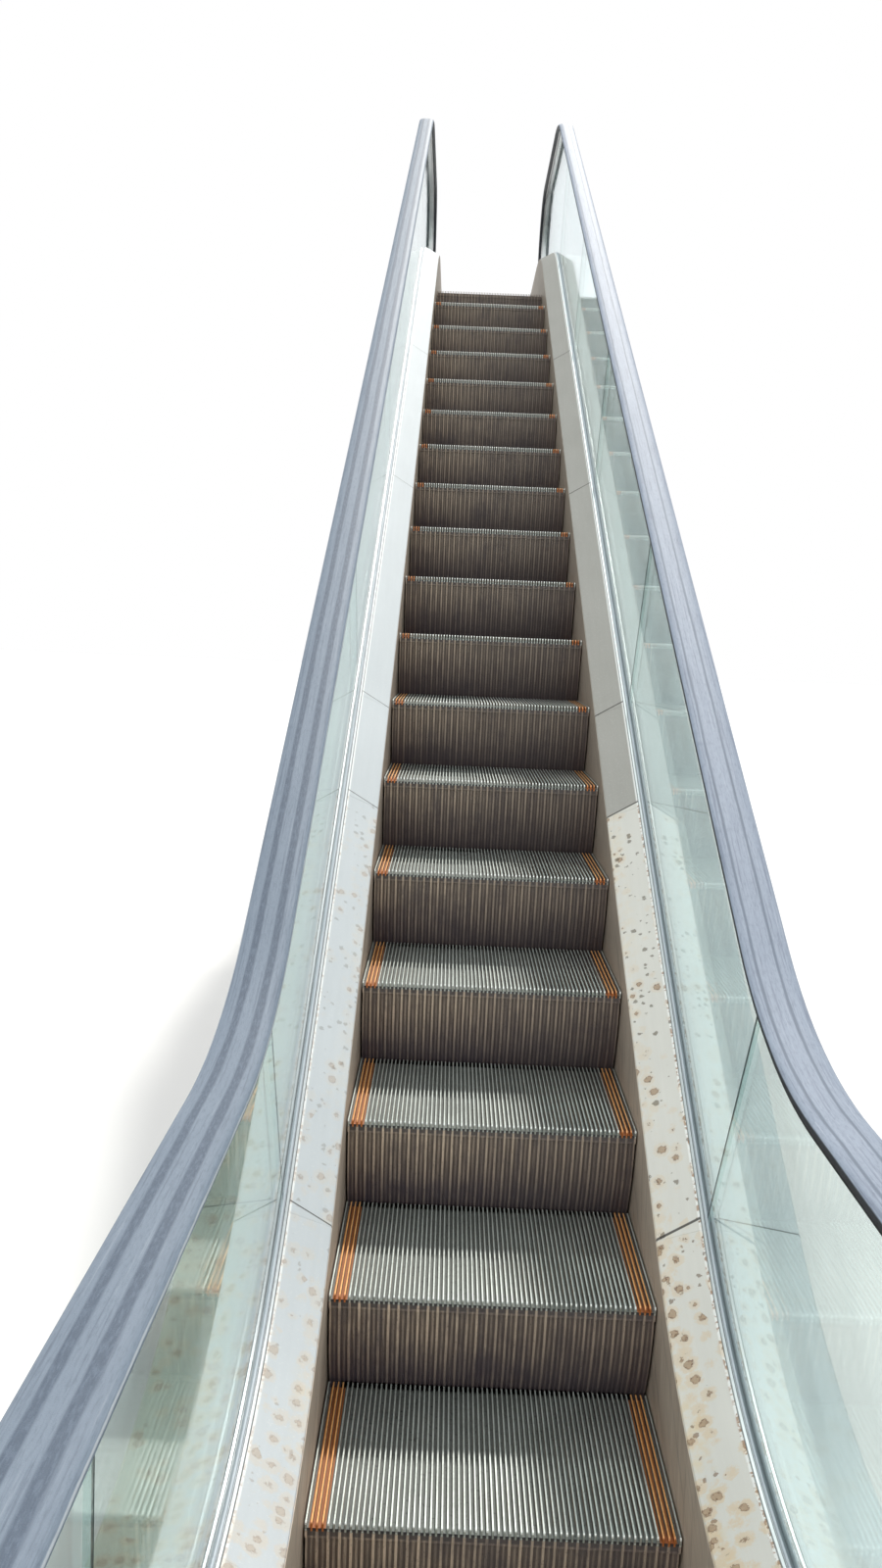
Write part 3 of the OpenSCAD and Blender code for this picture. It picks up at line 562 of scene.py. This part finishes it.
def handrail(name, x0, node):
    """C-shaped rubber section carried round the loop: a crowned top that falls off by the fourth power,
    round sides, and lips that turn in under the guide rail."""
    loop = handrail_loop()
    step = np.hypot(*(np.roll(loop[:, :2], -1, 0) - loop[:, :2]).T)
    along = np.concatenate([[0], np.cumsum(step)])
    top = np.linspace(-1, 1, 25)
    crown = np.stack([0.034 * top, 0.0118 - 0.004 * top ** 4], 1)
    turn = np.radians(np.linspace(50, -75, 9))
    round_side = np.stack([0.0305 + 0.0095 * np.cos(turn), -0.001 + 0.0135 * np.sin(turn) * 0.7], 1)
    under = np.array([[0.0345, -0.0155], [0.029, -0.017], [0.023, -0.0165], [0.0215, -0.0135],
                      [0.029, -0.0095], [0.031, -0.004], [0.031, 0.0015], [0.02, 0.002]])
    right = np.concatenate([round_side, under])
    section = np.concatenate([crown, right, (right * [-1, 1])[::-1]])
    width = np.hypot(*np.diff(section, axis=0).T)
    girth = np.concatenate([[0], np.cumsum(width)])
    centre = girth[len(crown) // 2]
    half = len(crown) + len(right)
    u = np.where(np.arange(len(section)) < half, girth - centre,
                 -(girth[-1] + np.hypot(*(section[0] - section[-1])) - girth + centre))
    n, m = len(loop), len(section)
    y = loop[:, None, 0] - section[None, :, 1] * np.sin(loop[:, None, 2])
    z = loop[:, None, 1] + section[None, :, 1] * np.cos(loop[:, None, 2])
    x = np.broadcast_to(x0 + section[None, :, 0], (n, m))
    points = np.stack([x, y, z], 2).reshape(-1, 3)
    i, j = np.meshgrid(np.arange(n), np.arange(m), indexing="ij")
    here, after, beside = i * m, (i + 1) % n * m, (j + 1) % m
    faces = np.stack([here + j, after + j, after + beside, here + beside], 2)
    right_u = np.roll(u, -1)
    right_u[half - 1] = u[half - 1]
    uv = np.stack([np.stack([u[j], along[i]], 2), np.stack([u[j], along[i + 1]], 2),
                   np.stack([right_u[j], along[i + 1]], 2), np.stack([right_u[j], along[i]], 2)], 2)
    made = piece(name, points, faces.reshape(-1, 4)[:, ::-1].tolist(), "handrail_rubber",
                 uv=uv[:, :, ::-1].reshape(-1, 2))
    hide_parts(node)


handrail("handrail_cover_left", -GLASS_X, "handrail_left")
handrail("handrail_cover_right", GLASS_X, "handrail_right")


def repeat(name, outline, half, xs, places, slot):
    """Small bars: an outline in the side plane carried from x - half to x + half, at each x and each place.
    Point k of bar (i, j) is (xs[j] -+ half, places[i] + outline[k])."""
    outline = np.asarray(outline, float)
    xs = np.asarray(xs, float)
    n = len(outline)
    side = np.concatenate([outline, outline])
    sign = np.repeat([-half, half], n)
    shape = (len(places), len(xs), 2 * n)
    x = np.broadcast_to(xs[None, :, None] + sign, shape)
    yz = np.broadcast_to(places[:, None, None] + side, (*shape, 2))
    points = np.concatenate([x[..., None], yz], 3).reshape(-1, 3)
    base = 2 * n * np.arange(len(places) * len(xs))[:, None]
    k = np.arange(n)
    walls = (np.stack([k, (k + 1) % n, (k + 1) % n + n, k + n], 1)[None] + base[:, :, None]).reshape(-1, 4)
    ends = np.concatenate([base + k[::-1], base + k + n])
    turn = np.sum(outline[:, 0] * np.roll(outline[:, 1], -1) - outline[:, 1] * np.roll(outline[:, 0], -1))
    way = -1 if turn > 0 else 1
    piece(name, points, walls[:, ::way].tolist() + ends[:, ::way].tolist(), slot, smooth=False)


# Teeth under the nosings: the long ones stand at every second cleat and run on into a ridge down the
# front of the step, the short ones between them end higher up
noses = nosing(np.arange(-4, 20))
long_x = CLEAT * np.arange(-CLEATS, CLEATS + 1, 2)
short_x = CLEAT * np.arange(1 - CLEATS, CLEATS, 2)
long_tooth = np.array([[2, 0.1], [0.3, 0.1], [-1.4, -1.2], [-2.2, -4.5], [-2.2, -9], [-1.5, -12.5],
                       [-0.1, -14.6], [0.2, -15.2], [-0.2, -24], [2.6, -24]]) / 1000
short_tooth = np.array([[2, 0.1], [1, 0.1], [-0.2, -1.4], [-0.6, -4], [-0.4, -8.5], [0.4, -11.5],
                        [0.6, -24], [2.4, -24]]) / 1000
long_half = 0.00155
short_half = 0.0014
repeat("long_nosing_teeth", long_tooth, long_half, long_x, noses, "step_aluminium")
repeat("short_nosing_teeth", short_tooth, short_half, short_x, noses, "step_aluminium")

# Lesser ridges of the risers, on an arc round the back edge of each tread
front = np.radians(np.linspace(183.4, 211.4, 7))
arc = np.stack([np.cos(front), np.sin(front)], 1)
ridge = np.concatenate([0.3982 * arc, 0.3945 * arc[::-1]]) + [PITCH, 0]
ridge_half = 0.0015
climbing = noses[noses[:, 1] > STEP_BOTTOM + 0.06]
repeat("lesser_riser_ridges", ridge, ridge_half, short_x, climbing, "step_aluminium")


def heads(name, rings, sides, facing, places, slot):
    """Heads of screws or bolts: rings of (radius, height) in millimetres, closed at both ends, on an axis
    that faces the way given. Point k of ring i is place + r (cos a u + sin a v) + h facing, with u and v
    square to the axis."""
    facing = np.array(facing, float)
    u = np.array([0, 1, 0]) if abs(facing[1]) < 0.5 else np.array([1, 0, 0])
    v = np.cross(facing, u)
    rings = np.array(rings)[:, None] / 1000
    turn = 2 * math.pi * np.arange(sides)[None] / sides
    flat = rings[..., :1] * (np.cos(turn)[..., None] * u + np.sin(turn)[..., None] * v)
    one = (flat + rings[..., 1:] * facing).reshape(-1, 3)
    places = np.asarray(places, float)
    points = (places[:, None] + one).reshape(-1, 3)
    i, j = np.meshgrid(np.arange(len(rings) - 1), np.arange(sides), indexing="ij")
    k = (j + 1) % sides
    ring, after = i * sides, (i + 1) * sides
    walls = np.stack([ring + j, ring + k, after + k, after + j], 2).reshape(-1, 4)
    base = len(one) * np.arange(len(places))[:, None]
    around = np.arange(sides)
    foot = base + around[::-1]
    crown = base + around + len(one) - sides
    walls = (walls + base[:, :, None]).reshape(-1, 4)
    piece(name, points, walls.tolist() + foot.tolist() + crown.tolist(), slot, smooth=False)


# Screws along the joints of the side panels, on the combs, and bolts on the plate at the upper end
screw = [(5.5, -0.5), (5.5, 0.4), (4.6, 1.1), (2.4, 1.3), (2.1, 0.4)]
small_screw = [(4, -0.5), (4, 0.3), (3.4, 0.7), (1.8, 0.8), (1.6, 0.2)]
bolt = [(13, -1), (13, 8), (11.5, 9)]
# The rows stand 28 mm beside each joint, and their ends 60 mm inside the lower and the upper edge. Each
# edge climbs from its first corner to its second one and is level before and after them
panel_joints = np.array([-1.42, -0.1, 0.9, 1.926, 3.2, 4.5, 5.8, 7.1])
lower_edge = np.array([[1.926, 0.008], [RUN, 2.51]])
upper_edge = np.array([[0.433, 0.352], [6.668, 3.952]])
panel_y = (panel_joints[:, None] + [-0.028, 0.028]).ravel()[1:]
foot_z = np.interp(panel_y, *lower_edge.T) + 0.06
head_z = np.interp(panel_y, *upper_edge.T) - 0.06
rows = np.linspace(0, 1, 5)
panel_z = foot_z[:, None] + (head_z - foot_z)[:, None] * rows
for side, name in ((-1, "left"), (1, "right")):
    spots = [(side * PANEL_FACE, y, z) for y, column in zip(panel_y, panel_z) for z in column]
    heads("panel_screws_" + name, screw, 12, (side, 0, 0), spots, "frame_steel")
# Three on each of the three segments of a comb, which are 22 cleats wide
segment = 22 * CLEAT
comb_row = 1.163
comb_top = 0.014
comb_x = segment * (np.array([[-1], [0], [1]]) + np.array([-1, 0, 1]) / 3).ravel()
for name, y, z in (("lower", -comb_row, STEP_BOTTOM), ("upper", RUN + comb_row, STEP_TOP)):
    spots = [(x, y, z + comb_top) for x in comb_x]
    heads("comb_screws_" + name, small_screw, 12, (0, 0, 1), spots, "frame_steel")
bracket_face = RUN + 2.416
bolt_places = [(x, bracket_face, z) for x in (-0.48, -0.3, -0.1, 0.1, 0.3, 0.48) for z in (3.44, 3.55)]
heads("bracket_bolts", bolt, 6, (0, 1, 0), bolt_places, "galvanised")

# Pale floor round the escalator
plain = Shader("studio_floor")
floor_mesh = bpy.data.meshes.new("studio_floor")
reach = 60
corners = [(-reach, -reach, 0), (reach, -reach, 0), (reach, reach, 0), (-reach, reach, 0)]
floor_mesh.from_pydata(corners, [], [(0, 1, 2, 3)])
pale = plain.surface(Base_Color=(0.86, 0.86, 0.85), Roughness=0.9, Specular_IOR_Level=0.1)
floor_mesh.materials.append(pale)
floor = bpy.data.objects.new("studio_floor", floor_mesh)
bpy.context.scene.collection.objects.link(floor)


def lamp(name, way, strength, spread, colour):
    """Even light that falls the way given, softened over spread degrees."""
    sun = bpy.data.lights.new(name, "SUN")
    sun.energy = strength
    sun.angle = math.radians(spread)
    sun.color = colour
    made = bpy.data.objects.new(name, sun)
    made.rotation_euler = Vector(way).to_track_quat("-Z", "Y").to_euler()
    bpy.context.scene.collection.objects.link(made)


lamp("key", (-0.17, -0.8, -1.0), 2.3, 3, (1, 0.97, 0.92))
lamp("fill", (0.15, 1.0, -0.75), 1.1, 70, (1, 0.985, 0.96))

# White to the camera and in reflections, a softer pale light on the object
sky = Shader("studio", "worlds")
camera_ray = sky.add("ShaderNodeLightPath", {}, {}, "Is Camera Ray")
glossy_ray, through_ray = (Value(sky, camera_ray.socket.node.outputs[name])
                           for name in ("Is Glossy Ray", "Is Transmission Ray"))
seen = camera_ray.math("MAXIMUM", glossy_ray).math("MAXIMUM", through_ray)
tint = sky.blend(camera_ray, (0.97, 0.985, 1), (1, 1, 1))
light = sky.add("ShaderNodeBackground", {}, {"Color": tint, "Strength": seen * 0.2 + 0.8})
bpy.context.scene.world = sky.finish(light, "ShaderNodeOutputWorld")

# Camera at the place and turn fitted to the nosings, the decks and the handrails
camera_place = (-0.1203, -1.6046, 1.6534)
yaw, pitch, roll = -0.0053, -0.1135, 0.0407
ahead = Vector((math.sin(yaw) * math.cos(pitch), math.cos(yaw) * math.cos(pitch), math.sin(pitch)))
level = Vector((math.cos(yaw), -math.sin(yaw), 0))
above = level.cross(ahead)
right = math.cos(roll) * level + math.sin(roll) * above
top = -math.sin(roll) * level + math.cos(roll) * above
lens = bpy.data.cameras.new("camera")
lens.lens = 30.44
lens.sensor_width = 36
lens.clip_end = 200
camera = bpy.data.objects.new("camera", lens)
turned = Matrix((right, top, -ahead)).transposed().to_4x4()
camera.matrix_world = Matrix.Translation(camera_place) @ turned
bpy.context.scene.collection.objects.link(camera)
bpy.context.scene.camera = camera
bpy.context.scene.view_settings.view_transform = "Standard"
